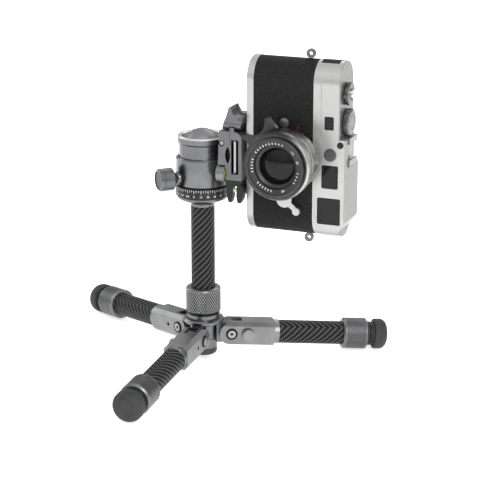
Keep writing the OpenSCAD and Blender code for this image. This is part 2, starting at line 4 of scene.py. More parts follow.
import bmesh
import bpy
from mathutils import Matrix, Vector


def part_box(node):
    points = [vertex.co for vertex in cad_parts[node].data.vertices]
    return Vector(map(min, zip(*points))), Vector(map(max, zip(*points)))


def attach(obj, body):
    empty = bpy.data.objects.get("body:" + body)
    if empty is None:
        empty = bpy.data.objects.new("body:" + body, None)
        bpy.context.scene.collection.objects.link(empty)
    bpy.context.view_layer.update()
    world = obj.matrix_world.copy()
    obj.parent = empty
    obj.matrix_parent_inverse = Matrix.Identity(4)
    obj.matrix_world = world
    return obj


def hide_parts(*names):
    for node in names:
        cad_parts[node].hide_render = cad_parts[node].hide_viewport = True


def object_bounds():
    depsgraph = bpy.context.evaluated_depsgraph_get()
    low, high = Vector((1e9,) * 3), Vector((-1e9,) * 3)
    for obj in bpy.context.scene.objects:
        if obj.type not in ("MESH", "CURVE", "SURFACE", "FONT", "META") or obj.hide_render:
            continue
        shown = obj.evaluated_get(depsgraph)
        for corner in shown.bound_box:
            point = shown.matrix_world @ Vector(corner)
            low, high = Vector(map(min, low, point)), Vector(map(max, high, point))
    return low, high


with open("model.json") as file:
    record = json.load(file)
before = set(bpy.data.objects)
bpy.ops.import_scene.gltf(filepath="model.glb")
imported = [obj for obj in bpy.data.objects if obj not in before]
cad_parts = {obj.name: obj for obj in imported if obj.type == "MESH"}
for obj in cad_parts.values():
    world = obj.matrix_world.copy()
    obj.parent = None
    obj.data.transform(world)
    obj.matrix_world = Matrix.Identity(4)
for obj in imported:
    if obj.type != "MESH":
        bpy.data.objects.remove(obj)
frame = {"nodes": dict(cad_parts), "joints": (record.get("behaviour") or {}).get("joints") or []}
nodes = frame["nodes"]
cad_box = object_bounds()

MM = 0.001
LEGS = ("right", "left", "front")


# ---- Places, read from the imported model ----

def joint(name):
    return next(j for j in frame["joints"] if j["name"] == name)


column_low, column_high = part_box("column_tube")
COLUMN = Vector(((column_low.x + column_high.x) / 2, (column_low.y + column_high.y) / 2, 0))
UP = Vector((0, 0, 1))
RIGHT = Vector((1, 0, 0))
FRONT = Vector((0, -1, 0))
BACK = Vector((0, 1, 0))
LENS = Vector(joint("focus_turn")["pos_m"])
LENS.y = COLUMN.y


def at(x, y, z):
    """A point given in millimetres from the foot of the column's axis."""
    return COLUMN + Vector((x, y, z)) * MM


# Radii in millimetres
COLUMN_R = 9.65
LEG_R = 9.6
COLUMN_COLLAR_R = 14.3
TWIST_COLLAR_R = 12.8
SCALE_R = 21.76
APERTURE_R = 26.5
FOCUS_R = 25.3
SPEED_DIAL_R = 10.6
DRIVE_COLLAR_R = 8.9

# Knurled bands on turned pieces: radius, first and last distance along the axis, style, count, depth
COLUMN_BAND = (COLUMN_COLLAR_R, 42.9, 60.0, "diamond", 42, 0.45)
TWIST_BAND = (TWIST_COLLAR_R, 96.6, 112.6, "diamond", 40, 0.2)
APERTURE_BAND = (APERTURE_R, 39.9, 45.9, "diamond", 96, 0.45)
FOCUS_BAND = (FOCUS_R, 28.4, 32.8, "diamond", 96, 0.4)
SPEED_BAND = (SPEED_DIAL_R, 121.1, 123.7, "straight", 60, 0.4)
DRIVE_BAND = (DRIVE_COLLAR_R, 121.3, 123, "straight", 50, 0.35)
KNURL_TALL = 1.5  # height of a knurl's diamond over its width

MAIN_KNOB = at(0, 0, 160)
PAN_KNOB = at(0, 0, 155)
SPEED_DIAL = at(0, 0, 209.1)
DRIVE_COLLAR = at(0, 0, 231.2)


# ---- Node helpers ----

def new_material(name, color=(0.5, 0.5, 0.5), metallic=0.0, rough=0.5, **sockets):
    m = bpy.data.materials.new(name)
    m.use_nodes = True
    shader = m.node_tree.nodes["Principled BSDF"]
    shader.inputs["Base Color"].default_value = (*color, 1)
    shader.inputs["Metallic"].default_value = metallic
    shader.inputs["Roughness"].default_value = rough
    for key, value in sockets.items():
        shader.inputs[key.replace("_", " ")].default_value = value
    m.diffuse_color = (*color, 1)
    return m


def shader_of(m):
    return m.node_tree.nodes["Principled BSDF"]


def put(tree, socket, value):
    """Links a node's output to a socket, or sets the socket to a plain value."""
    if isinstance(value, bpy.types.NodeSocket):
        tree.links.new(value, socket)
    else:
        socket.default_value = value


def math_node(tree, op, *values):
    n = tree.nodes.new("ShaderNodeMath")
    n.operation = op
    for i, v in enumerate(values):
        put(tree, n.inputs[i], v)
    return n.outputs[0]


def plus(tree, a, b):
    return math_node(tree, "ADD", a, b)


def minus(tree, a, b):
    return math_node(tree, "SUBTRACT", a, b)


def times(tree, first, *others):
    for value in others:
        first = math_node(tree, "MULTIPLY", first, value)
    return first


def coords(tree):
    """Position in millimetres."""
    n = tree.nodes.new("ShaderNodeTexCoord")
    s = tree.nodes.new("ShaderNodeVectorMath")
    s.operation = "SCALE"
    tree.links.new(n.outputs["Object"], s.inputs[0])
    s.inputs["Scale"].default_value = 1000
    return s.outputs[0]


def split_coords(tree, kind):
    """X, Y and Z of a texture coordinate: "Object" is the place, "Normal" the way a surface looks."""
    n = tree.nodes.new("ShaderNodeTexCoord")
    split = tree.nodes.new("ShaderNodeSeparateXYZ")
    tree.links.new(n.outputs[kind], split.inputs[0])
    return split.outputs


def wall_angle(axis, direction):
    """Angle in the frame of a turned piece at which its wall faces a direction."""
    turn = Vector(axis).to_track_quat("Z", "X")
    d = turn.inverted() @ Vector(direction)
    return math.atan2(d.y, d.x)


def round_coords(tree, origin, axis):
    """Angle, distance along the axis and radius, in radians and millimetres."""
    n = tree.nodes.new("ShaderNodeTexCoord")
    mapping = tree.nodes.new("ShaderNodeMapping")
    mapping.vector_type = "TEXTURE"
    mapping.inputs["Location"].default_value = origin
    mapping.inputs["Rotation"].default_value = Vector(axis).to_track_quat("Z", "X").to_euler()
    mapping.inputs["Scale"].default_value = (MM, MM, MM)
    tree.links.new(n.outputs["Object"], mapping.inputs[0])
    split = tree.nodes.new("ShaderNodeSeparateXYZ")
    tree.links.new(mapping.outputs[0], split.inputs[0])
    x, y, z = split.outputs
    angle = math_node(tree, "ARCTAN2", y, x)
    radius = math_node(tree, "SQRT", plus(tree, times(tree, x, x), times(tree, y, y)))
    return angle, z, radius


def joined(tree, x, y=0.0, z=0.0):
    n = tree.nodes.new("ShaderNodeCombineXYZ")
    for i, v in enumerate((x, y, z)):
        put(tree, n.inputs[i], v)
    return n.outputs[0]


def noise(tree, vector, scale, detail=3.0, rough=0.5):
    n = tree.nodes.new("ShaderNodeTexNoise")
    tree.links.new(vector, n.inputs["Vector"])
    n.inputs["Scale"].default_value = scale
    n.inputs["Detail"].default_value = detail
    n.inputs["Roughness"].default_value = rough
    return n.outputs["Fac"]


def span(tree, value, a, b, c, d, smooth=False):
    """Maps the range from a to b onto the range from c to d."""
    n = tree.nodes.new("ShaderNodeMapRange")
    if smooth:
        n.interpolation_type = "SMOOTHSTEP"
    put(tree, n.inputs[0], value)
    for i, v in enumerate((a, b, c, d)):
        put(tree, n.inputs[i + 1], v)
    return n.outputs[0]


def mixed(tree, fac, a, b):
    n = tree.nodes.new("ShaderNodeMix")
    n.data_type = "RGBA"
    put(tree, n.inputs["Factor"], fac)
    for key, v in (("A", a), ("B", b)):
        socket = [s for s in n.inputs if s.name == key and s.type == "RGBA"][0]
        if isinstance(v, bpy.types.NodeSocket):
            tree.links.new(v, socket)
        else:
            socket.default_value = (*v, 1)
    return [s for s in n.outputs if s.type == "RGBA"][0]


def toned(m, fac, a, b):
    """Gives a material a base colour that runs from a to b."""
    tree = m.node_tree
    tree.links.new(mixed(tree, fac, a, b), shader_of(m).inputs["Base Color"])


def roughened(m, value, a, b, c, d):
    """Gives a material a roughness from c to d as value goes from a to b."""
    tree = m.node_tree
    tree.links.new(span(tree, value, a, b, c, d), shader_of(m).inputs["Roughness"])


def scaled(color, amount):
    """A lighter or darker shade of a colour."""
    return tuple(min(1, c * amount) for c in color)


def bump(m, height, strength=0.3, distance=0.05):
    """distance is in millimetres."""
    tree = m.node_tree
    n = tree.nodes.new("ShaderNodeBump")
    n.inputs["Strength"].default_value = strength
    n.inputs["Distance"].default_value = distance * MM
    put(tree, n.inputs["Height"], height)
    shader = shader_of(m)
    tree.links.new(n.outputs[0], shader.inputs["Normal"])
    if shader.inputs["Coat Weight"].default_value > 0:
        tree.links.new(n.outputs[0], shader.inputs["Coat Normal"])


# ---- Materials ----

def metal(name, color, rough=0.35, grain=0.5, shade=0.12, axis=None, origin=None, lines=0.0, metallic=1.0):
    """Anodised or plated metal: fine blasted grain, slow tone changes and,
    where an axis is given, turned lines round it."""
    m = new_material(name, color, metallic, rough)
    tree = m.node_tree
    p = coords(tree)
    slow = noise(tree, p, 0.06, 2.0)
    fine = noise(tree, p, 6.0, 2.0, 0.6)
    tone = span(tree, slow, 0.3, 0.7, 0.0, 1.0, smooth=True)
    toned(m, tone, scaled(color, 1 - shade), scaled(color, 1 + shade))
    smudge = noise(tree, p, 0.25, 4.0, 0.6)
    roughened(m, smudge, 0.3, 0.75, rough * 0.93, rough * 1.07)
    height = fine
    if lines:
        angle, t, radius = round_coords(tree, origin, axis)
        rings = noise(tree, joined(tree, t, radius, 0.0), 9.0, 1.0)
        height = plus(tree, times(tree, fine, 0.4), times(tree, rings, lines))
    bump(m, height, grain, 0.012)
    return m


def brushed_round(m, amount):
    """Lays the grain round the column's axis, which draws the highlight out along it."""
    tree = m.node_tree
    place = split_coords(tree, "Object")
    x = minus(tree, place[0], COLUMN.x)
    y = minus(tree, COLUMN.y, place[1])
    turn = tree.nodes.new("ShaderNodeVectorTransform")
    turn.vector_type = "VECTOR"
    turn.convert_from = "OBJECT"
    turn.convert_to = "WORLD"
    tree.links.new(joined(tree, y, x, 0.0), turn.inputs[0])
    tree.links.new(turn.outputs[0], shader_of(m).inputs["Tangent"])
    shader_of(m).inputs["Anisotropic"].default_value = amount
    return m


def knurled(name, bright, dark, band, origin, axis, rough=0.3, seal=None, plain=None):
    """Metal with a diamond-knurled band: painted shade darkens the grooves, and where a plain colour is
    given the band is lighter with painted glint.
    Beyond the band it has the plain colour, and it is black below seal."""
    radius, first, last, style, count, depth = band
    m = metal(name, plain or bright, rough, metallic=0.85, grain=0.3)
    tree = m.node_tree
    angle, t, r = round_coords(tree, origin, axis)
    a = times(tree, angle, count / (2 * math.pi))
    b = times(tree, t, count / (2 * math.pi * radius * KNURL_TALL))
    one = math_node(tree, "PINGPONG", plus(tree, a, b), 0.5)
    two = math_node(tree, "PINGPONG", minus(tree, a, b), 0.5)
    rise = math_node(tree, "MINIMUM", minus(tree, 0.5, one), minus(tree, 0.5, two))
    groove_shade = span(tree, rise, 0.06, 0.3, 1.0, 0.0, smooth=True)
    along = times(tree, math_node(tree, "GREATER_THAN", t, first), math_node(tree, "LESS_THAN", t, last))
    on_wall = math_node(tree, "GREATER_THAN", r, radius - 0.9)
    on_band = times(tree, along, on_wall)
    socket = shader_of(m).inputs["Base Color"]
    colour = socket.links[0].from_socket
    # Painted glint: with a plain colour, the knurled band takes the lighter colour bright
    if plain:
        colour = mixed(tree, on_band, colour, bright)
    # Painted shade: the knurl's grooves take the dark colour
    colour = mixed(tree, times(tree, on_band, groove_shade), colour, dark)
    if seal is not None:
        colour = mixed(tree, math_node(tree, "LESS_THAN", t, seal), colour, (0.008, 0.008, 0.008))
    tree.links.new(colour, socket)
    return m


def camera_chrome(name):
    """Satin chrome with painted shade: its deck faces, which look along X, are given a darker colour than
    the front.
    """
    m = metal(name, SILVER, 0.32, grain=0.12, shade=0.02, metallic=0.7)
    tree = m.node_tree
    # Painted shade: faces that look along X take a darker base colour
    deck = span(tree, split_coords(tree, "Normal")[0], 0.6, 0.95, 0.0, 1.0, smooth=True)
    bright = shader_of(m).inputs["Base Color"].links[0].from_socket
    grain = span(tree, noise(tree, coords(tree), 1.4, 3.0, 0.6), 0.3, 0.7, 0.0, 1.0)
    shaded_deck_colour = mixed(tree, grain, (0.165, 0.165, 0.162), (0.19, 0.19, 0.187))
    toned(m, deck, bright, shaded_deck_colour)
    return m


def carbon(name, origin, axis, radius, ridge, way):
    """Twill-woven carbon tube under clear coat. The twill turns back in a chevron on the side
    that faces ridge and on the opposite side. way, ADD or SUBTRACT, is the sense in which it climbs."""
    m = new_material(name, (0.01, 0.01, 0.011), 0.0, 0.45,
                     Coat_Weight=0.04, Coat_Roughness=0.25, Specular_IOR_Level=0.1)
    tree = m.node_tree
    around = 48  # tows round the tube, a multiple of eight
    angle, t, r = round_coords(tree, origin, axis)
    from_ridge = minus(tree, angle, wall_angle(axis, ridge))
    u = math_node(tree, "PINGPONG", times(tree, from_ridge, around / (2 * math.pi)), around / 2)
    v = times(tree, t, around / (2 * math.pi * radius))
    i, j = math_node(tree, "FLOOR", u), math_node(tree, "FLOOR", v)
    fu, fv = math_node(tree, "FRACT", u), math_node(tree, "FRACT", v)
    k = math_node(tree, "FLOORED_MODULO", math_node(tree, way, i, j), 4.0)
    over = math_node(tree, "LESS_THAN", k, 1.5)

    def arch(value):
        return math_node(tree, "SINE", times(tree, value, math.pi))

    def pick(a, b):
        """a where the tow along the tube lies on top, b elsewhere."""
        return plus(tree, times(tree, over, a), times(tree, minus(tree, 1.0, over), b))

    def fibre_noise(round_it, along_it):
        return noise(tree, joined(tree, times(tree, u, round_it), times(tree, v, along_it)), 1.0, 1.0)

    # Where along its float each tow is, from 0 to 1
    lift_u = math_node(tree, "DIVIDE", plus(tree, k, minus(tree, 1.0, fv)), 2.0)
    lift_v = math_node(tree, "DIVIDE", plus(tree, minus(tree, k, 2.0), fu), 2.0)
    tow_u = math_node(tree, "POWER", arch(fu), 0.6)
    tow_v = math_node(tree, "POWER", arch(fv), 0.6)
    height = pick(times(tree, tow_u, arch(lift_u)), times(tree, tow_v, arch(lift_v)))
    fibres = pick(fibre_noise(14.0, 0.6), fibre_noise(0.6, 14.0))
    crown = math_node(tree, "POWER", span(tree, height, 0.0, 1.0, 0.2, 1.0), 2.2)
    streaks = span(tree, fibres, 0.3, 0.7, 0.7, 1.1)
    # Painted sheen: the crowns of the tows take a lighter base colour, those along the tube far less than
    # those round it
    painted_sheen = times(tree, pick(0.07, 1.0), times(tree, crown, streaks))
    toned(m, painted_sheen, (0.003, 0.003, 0.0033), (0.14, 0.14, 0.142))
    roughened(m, height, 0.0, 1.0, 0.6, 0.42)
    bump(m, plus(tree, height, times(tree, fibres, 0.15)), 0.5, 0.12)
    return m


def inside(m, x0, x1, y0, y1, z0, z1):
    """1 inside a box given in millimetres from the foot of the column's axis."""
    tree = m.node_tree
    place = split_coords(tree, "Object")
    low, high = at(x0, y0, z0), at(x1, y1, z1)
    mask = 1.0
    for i in range(3):
        for op, edge in (("GREATER_THAN", low[i]), ("LESS_THAN", high[i])):
            mask = times(tree, mask, math_node(tree, op, place[i], edge))
    return mask


def near(m, origin, axis, first, last, reach=1000.0):
    """1 where the distance from an axis lies between first and last, within reach of the origin."""
    tree = m.node_tree
    angle, t, r = round_coords(tree, origin, axis)
    ring = times(tree, math_node(tree, "GREATER_THAN", r, first), math_node(tree, "LESS_THAN", r, last))
    return times(tree, ring, math_node(tree, "LESS_THAN", math_node(tree, "ABSOLUTE", t), reach))


def laid_over(m, mask, color):
    """Lays another colour over a material where mask is 1."""
    tree = m.node_tree
    socket = shader_of(m).inputs["Base Color"]
    tree.links.new(mixed(tree, mask, socket.links[0].from_socket, color), socket)
    return m


def catching_light(m, color):
    """Painted highlight: turned flanks get a lighter, speckled colour where they look along X."""
    tree = m.node_tree
    side = span(tree, split_coords(tree, "Normal")[0], 0.25, 0.8, 0.0, 1.0, smooth=True)
    highlight_speckle = span(tree, noise(tree, coords(tree), 1.8, 3.0, 0.6), 0.4, 0.6, 0.35, 1.0)
    return laid_over(m, times(tree, side, highlight_speckle), color)


def leatherette(name):
    m = new_material(name, (0.012, 0.012, 0.012), 0.0, 0.66, Specular_IOR_Level=0.22)
    tree = m.node_tree
    p = coords(tree)
    cells = tree.nodes.new("ShaderNodeTexVoronoi")
    cells.feature = "F1"
    tree.links.new(p, cells.inputs["Vector"])
    cells.inputs["Scale"].default_value = 1.5
    cells.inputs["Randomness"].default_value = 0.85
    grain = noise(tree, p, 4.0, 3.0, 0.6)
    dome = span(tree, cells.outputs["Distance"], 0.0, 0.75, 1.0, 0.0)
    height = plus(tree, dome, times(tree, grain, 0.35))
    toned(m, span(tree, dome, 0.1, 0.8, 0.0, 1.0), (0.003, 0.003, 0.003), (0.013, 0.013, 0.0134))
    roughened(m, dome, 0.0, 1.0, 0.78, 0.52)
    bump(m, height, 0.7, 0.16)
    return m


def rubber(name, color=(0.024, 0.0244, 0.025)):
    m = new_material(name, color, 0.0, 0.68, Specular_IOR_Level=0.4)
    tree = m.node_tree
    p = coords(tree)
    slow = noise(tree, p, 0.12, 4.0, 0.6)
    fine = noise(tree, p, 3.5, 3.0, 0.6)
    toned(m, span(tree, slow, 0.35, 0.7, 0.0, 1.0), scaled(color, 0.75), scaled(color, 1.5))
    roughened(m, slow, 0.3, 0.75, 0.6, 0.8)
    bump(m, fine, 0.35, 0.06)
    return m


def plastic(name, color, rough=0.4):
    m = new_material(name, color, 0.0, rough)
    tree = m.node_tree
    p = coords(tree)
    slow = noise(tree, p, 0.2, 3.0)
    toned(m, span(tree, slow, 0.3, 0.7, 0.0, 1.0), scaled(color, 0.85), scaled(color, 1.15))
    roughened(m, slow, 0.3, 0.7, rough * 0.85, rough * 1.15)
    bump(m, noise(tree, p, 5.0, 2.0), 0.2, 0.02)
    return m


def dark_glass(name, color):
    m = new_material(name, color, 0.0, 0.08,
                     Specular_IOR_Level=0.2, Coat_Weight=0.08, Coat_Roughness=0.03)
    tree = m.node_tree
    p = coords(tree)
    slow = noise(tree, p, 0.1, 2.0)
    toned(m, span(tree, slow, 0.3, 0.7, 0.0, 1.0), color, scaled(color, 2.2))
    roughened(m, noise(tree, p, 0.5, 4.0), 0.3, 0.8, 0.05, 0.11)
    return m


def ink(name, color, dark, light):
    m = new_material(name, color, 0.0, 0.6)
    tree = m.node_tree
    toned(m, noise(tree, coords(tree), 3.0, 2.0), dark, light)
    return m


def paint(node, material):
    o = nodes[node]
    o.data.materials.clear()
    o.data.materials.append(material)


GREY = (0.15, 0.151, 0.155)
CLAMP_GREY = (0.14, 0.141, 0.145)
BLACK = (0.006, 0.006, 0.006)
SILVER = (0.42, 0.42, 0.415)
BRIGHT_STEEL = (0.4, 0.4, 0.39)
LENS_DARK = (0.042, 0.042, 0.043)
LENS_PEAK = (0.09, 0.09, 0.09)
LENS_PAINTED_HIGHLIGHT = (0.6, 0.6, 0.59)

grey = metal("anodised_grey", GREY, 0.36)
grey_block = metal("anodised_grey_block", (0.2, 0.201, 0.205), 0.34, metallic=0.85)
grey_ring = brushed_round(metal("ring_grey", GREY, 0.3, axis=UP, origin=COLUMN, lines=1.2), 0.6)
grey_turned = metal("turned_grey", GREY, 0.24, grain=0.12, axis=UP, origin=COLUMN, lines=0.6)
brushed_round(grey_turned, 0.7)
knurl_grey = metal("knurled_grey", (0.16, 0.161, 0.165), 0.32, metallic=0.9)
# Knurled collar: grooves in painted shade, band lighter with painted glint
collar_knurl = knurled("collar_knurl", (0.29, 0.291, 0.295), BLACK, COLUMN_BAND, COLUMN, UP,
                       seal=42.2, plain=(0.17, 0.171, 0.175))
grey_dark = metal("anodised_dark", (0.045, 0.046, 0.049), 0.4)
clamp_grey = metal("clamp_grey", CLAMP_GREY, 0.38, metallic=0.85)
jaw_grey = metal("jaw_grey", CLAMP_GREY, 0.38, metallic=0.85)
body_grey = metal("clamp_body_grey", CLAMP_GREY, 0.38, metallic=0.85)
bolt_steel = metal("bolt_steel", (0.36, 0.36, 0.358), 0.34, metallic=0.8)
button_steel = metal("button_steel", (0.22, 0.22, 0.218), 0.4, metallic=0.8)
flange_steel = metal("flange_steel", (0.26, 0.26, 0.258), 0.3)
silver = metal("satin_silver", SILVER, 0.3, grain=0.25, shade=0.04, metallic=0.8)
chrome = camera_chrome("camera_chrome")
silver_polished = metal("polished_silver", (0.8, 0.8, 0.79), 0.12, grain=0.1, shade=0.03)
steel = metal("steel", (0.5, 0.5, 0.5), 0.28, grain=0.3)
steel_dark = metal("steel_dark", (0.1, 0.1, 0.105), 0.35)
# Lens metal with a painted highlight on the flanks that look along X
lens_metal = metal("lens_anodised", (0.045, 0.045, 0.046), 0.34, metallic=0.85)
catching_light(lens_metal, (0.45, 0.45, 0.44))
# Lens knurls: painted shade in the grooves, painted glint on the band, painted highlight on the flanks
# that look along X
aperture_knurl = knurled("aperture_knurl", LENS_PEAK, BLACK, APERTURE_BAND, LENS, FRONT, plain=LENS_DARK)
catching_light(aperture_knurl, LENS_PAINTED_HIGHLIGHT)
focus_knurl = knurled("focus_knurl", LENS_PEAK, BLACK, FOCUS_BAND, LENS, FRONT, plain=LENS_DARK)
catching_light(focus_knurl, LENS_PAINTED_HIGHLIGHT)
lens_face = metal("lens_face", (0.035, 0.035, 0.036), 0.42,
                  metallic=0.5, axis=FRONT, origin=LENS, lines=0.8)
dial_metal = metal("dial_metal", (0.16, 0.16, 0.163), 0.3)
black_metal = metal("black_anodised", (0.018, 0.018, 0.019), 0.38, metallic=0.6)
leather = leatherette("leatherette")
foot_rubber = rubber("foot_rubber")
black_plastic = plastic("black_plastic", (0.02, 0.02, 0.021), 0.5)
window = dark_glass("window_glass", (0.004, 0.0041, 0.0042))
lens_front = dark_glass("lens_glass", (0.003, 0.003, 0.0033))
white = ink("white_print", (0.75, 0.75, 0.73), (0.62, 0.62, 0.6), (0.8, 0.8, 0.78))

# Black socket on each leg's pivot bolt, painted shade in the hollow, and a dark rim round it
for side in LEGS:
    fold = joint(side + "_leg_fold")
    for first, last in ((0, 1.2), (3.2, 6)):
        laid_over(bolt_steel, near(bolt_steel, fold["pos_m"], fold["axis"], first, last, 20.0), BLACK)

# Bright lip on the top ring
ring_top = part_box("top_ring")[1].z / MM
lip = inside(grey_ring, -40, 40, -40, 40, ring_top - 1.0, ring_top + 1)
laid_over(grey_ring, lip, (0.62, 0.62, 0.615))

# Lighter cheek round the clamp's bubble level
laid_over(body_grey, near(body_grey, at(25, -21, 164.8), RIGHT, 0, 7.1, 12.0), (0.2, 0.2, 0.203))

# The clamp's jaw: black slot with a bright strip, dark thumb notch, screw, dark fork with a light gap; the
# black of the slot, the notch and the ring round the screw is painted shade in those hollows
NOTCH = at(21.8, -22, 180.4)
SCREW = at(26.4, -24, 189.4)
notch = times(jaw_grey.node_tree, near(jaw_grey, NOTCH, FRONT, 0, 12.1),
              inside(jaw_grey, 29, 34, -25, -21, 165, 195))
for mask, color in (
    (inside(jaw_grey, 34.6, 40.6, -26, -21.3, 165.4, 192.8), BLACK),
    (inside(jaw_grey, 36.6, 38.3, -26, -24, 166.6, 191.8), BRIGHT_STEEL),
    (notch, BLACK),
    (near(jaw_grey, SCREW, FRONT, 0, 2.3, 2.0), BLACK),
    (near(jaw_grey, SCREW, FRONT, 0, 1.55, 2.0), BRIGHT_STEEL),
    (inside(jaw_grey, 28, 46, -26, -16, 140, 160.5), (0.024, 0.028, 0.023)),
    (inside(jaw_grey, 35.5, 39.5, -24, -20, 150, 155), (0.7, 0.7, 0.68)),
):
    laid_over(jaw_grey, mask, color)

# Plain red index mark beside the lens
INDEX_MARK = at(87.6, -15, 205.6)
laid_over(flange_steel, near(flange_steel, INDEX_MARK, FRONT, 0, 1.3), (0.95, 0.11, 0.06))

paint("hub", grey_turned)
paint("bottom_cap", black_plastic)
paint("leg_pivot_bolts", bolt_steel)
paint("column_collar", collar_knurl)
paint("column_tube", carbon("carbon_column", COLUMN, UP, COLUMN_R, (-0.92, -0.39, 0), "SUBTRACT"))
paint("pan_base", grey_turned)
paint("scale_ring", black_metal)
paint("head_housing", grey_turned)
paint("top_ring", grey_ring)
paint("main_knob", knurl_grey)
paint("pan_knob", knurl_grey)
paint("ball", metal("ball_grey", (0.2, 0.201, 0.205), 0.46, grain=0.3, metallic=0.8))
paint("clamp_neck", grey)
paint("clamp_body", body_grey)
paint("bubble_level", plastic("level_green", (0.2, 0.5, 0.04), 0.2))
paint("clamp_jaw", jaw_grey)
paint("clamp_lever", clamp_grey)
paint("camera_plate", grey_dark)
paint("chassis", plastic("inner_black", (0.012, 0.012, 0.012), 0.7))
paint("body_wrap", leather)
paint("back_door", leather)
paint("base_plate", chrome)
paint("top_plate", chrome)
paint("accessory_shoe", metal("shoe_steel", (0.27, 0.27, 0.266), 0.35, metallic=0.8))
paint("window_glasses", window)
paint("front_badge", plastic("badge_cap", (0.05, 0.05, 0.052), 0.25))
paint("lens_flange", flange_steel)
paint("strap_lugs", metal("lug_steel", (0.13, 0.13, 0.13), 0.3))
paint("film_cassette", steel)
paint("shutter_blind", plastic("blind_cloth", (0.012, 0.012, 0.013), 0.85))
paint("takeup_spool", black_plastic)
paint("pressure_plate", steel_dark)
paint("release_button", silver_polished)
paint("drive_collar", dial_metal)
paint("speed_dial", dial_metal)
paint("frame_lever", silver)
paint("lens_release", metal("release_grey", (0.26, 0.26, 0.258), 0.34, grain=0.2))
paint("focus_ring", lens_metal)
paint("lens_barrel", lens_metal)
paint("aperture_ring", lens_metal)
paint("name_ring", lens_face)
paint("lens_glass", lens_front)
for side in LEGS:
    twist = joint(side + "_leg_twist")
    ridge = FRONT * 0.75 + UP * 0.66
    paint(side + "_leg_block", grey_block)
    paint(side + "_leg_tube", carbon("carbon_" + side, twist["pos_m"], twist["axis"], LEG_R, ridge, "ADD"))
    paint(side + "_leg_button", button_steel)
    paint(side + "_leg_collar", knurl_grey)
    paint(side + "_leg_extension", grey_dark)
    paint(side + "_leg_foot", foot_rubber)


def soften_edges(o):
    """Small round edges and even shading on a plain machined node."""
    if "custom_normal" in o.data.attributes:
        o.data.attributes.remove(o.data.attributes["custom_normal"])
    for poly in o.data.polygons:
        poly.use_smooth = True
    weld = o.modifiers.new("closed", "WELD")
    weld.merge_threshold = 0.001 * MM
    bevel = o.modifiers.new("soft_edges", "BEVEL")
    bevel.width = 0.2 * MM
    bevel.segments = 3
    bevel.limit_method = "ANGLE"
    bevel.angle_limit = math.radians(32)
    split = o.modifiers.new("crisp", "EDGE_SPLIT")
    split.split_angle = math.radians(35)
    weighted = o.modifiers.new("even_normals", "WEIGHTED_NORMAL")
    weighted.keep_sharp = True


for node in nodes.values():
    soften_edges(node)


# ---- Detailed pieces: every outline is in millimetres, as (radius, distance along the axis) ----

def piece(name, mesh, material, body, replaced=()):
    """Adds a mesh that rides on a body, in place of the CAD nodes it replaces."""
    o = bpy.data.objects.new(name, mesh)
    bpy.context.scene.collection.objects.link(o)
    if not mesh.materials:
        mesh.materials.append(material)
    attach(o, body)
    if replaced:
        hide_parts(*replaced)
    return o


def closed_mesh(name, verts, faces, weld=False, smooth=True):
    """A mesh whose faces look outward, smooth except where it turns sharply."""
    mesh = bpy.data.meshes.new(name)
    mesh.from_pydata(verts, [], faces)
    bm = bmesh.new()
    bm.from_mesh(mesh)
    if weld:
        bmesh.ops.remove_doubles(bm, verts=bm.verts, dist=1e-7)
    bmesh.ops.recalc_face_normals(bm, faces=bm.faces)
    bm.to_mesh(mesh)
    bm.free()
    if smooth:
        mesh.shade_smooth()
        mesh.set_sharp_from_angle(angle=math.radians(30))
    return mesh


def frame_of(origin, axis):
    """Turns (x, y, distance along the axis) in millimetres into a place."""
    turn = Vector(axis).to_track_quat("Z", "X")
    return lambda x, y, z: Vector(origin) + turn @ (Vector((x, y, z)) * MM)


def facets(style, count, depth, angle, t):
    """How far a knurled wall lies below its full radius. t counts diamonds along the axis."""
    a = count * angle / (2 * math.pi)
    if style == "straight":
        wave = abs(2 * (a % 1) - 1)
        return depth * (1 - min(1, wave * 1.4))
    wave = min(abs(2 * ((a + t) % 1) - 1), abs(2 * ((a - t) % 1) - 1))
    return depth * (1 - min(1, 1.25 * wave))


def knurled_rows(band, upward):
    """Rows (radius, distance, knurl) that run over one knurled band, with a plain row at each end."""
    radius, first, last, style, count, depth = band
    pitch = 2 * math.pi * radius / count
    steps = max(2, round((last - first) / pitch * 5)) if style == "diamond" else 2
    ts = [first + (last - first) * i / steps for i in range(steps + 1)]
    margin = 0.02
    if not upward:
        ts.reverse()
        margin = -margin
    rows = [(radius, t, (style, count, depth, t / (KNURL_TALL * pitch))) for t in ts]
    return [(radius, ts[0] - margin, None)] + rows + [(radius, ts[-1] + margin, None)]


def turned(name, points, origin, axis, material, body, replaced=(), bands=()):
    """A turned piece. points is a closed outline of (radius, distance) in millimetres.
    Each band is knurled."""
    place = frame_of(origin, axis)
    rows = []
    for (r0, t0), (r1, t1) in zip(points, points[1:] + points[:1]):
        rows.append((r0, t0, None))
        for band in bands:
            radius, first, last = band[:3]
            if r0 == r1 == radius and min(t0, t1) <= first and max(t0, t1) >= last:
                rows += knurled_rows(band, t1 > t0)
    segments = max(band[4] for band in bands) * 6
    verts, n = [], len(rows)
    for s in range(segments):
        angle = 2 * math.pi * s / segments
        c, d = math.cos(angle), math.sin(angle)
        for r, t, knurl in rows:
            if knurl:
                r -= facets(*knurl[:3], angle, knurl[3])
            verts.append(place(r * c, r * d, t)[:])
    faces = []
    for s in range(segments):
        a, b = s * n, ((s + 1) % segments) * n
        for i in range(n):
            j = (i + 1) % n
            if rows[i][0] == 0 and rows[j][0] == 0:
                continue
            faces.append((a + i, b + i, b + j, a + j))
    return piece(name, closed_mesh(name, verts, faces, weld=True), material, body, replaced)


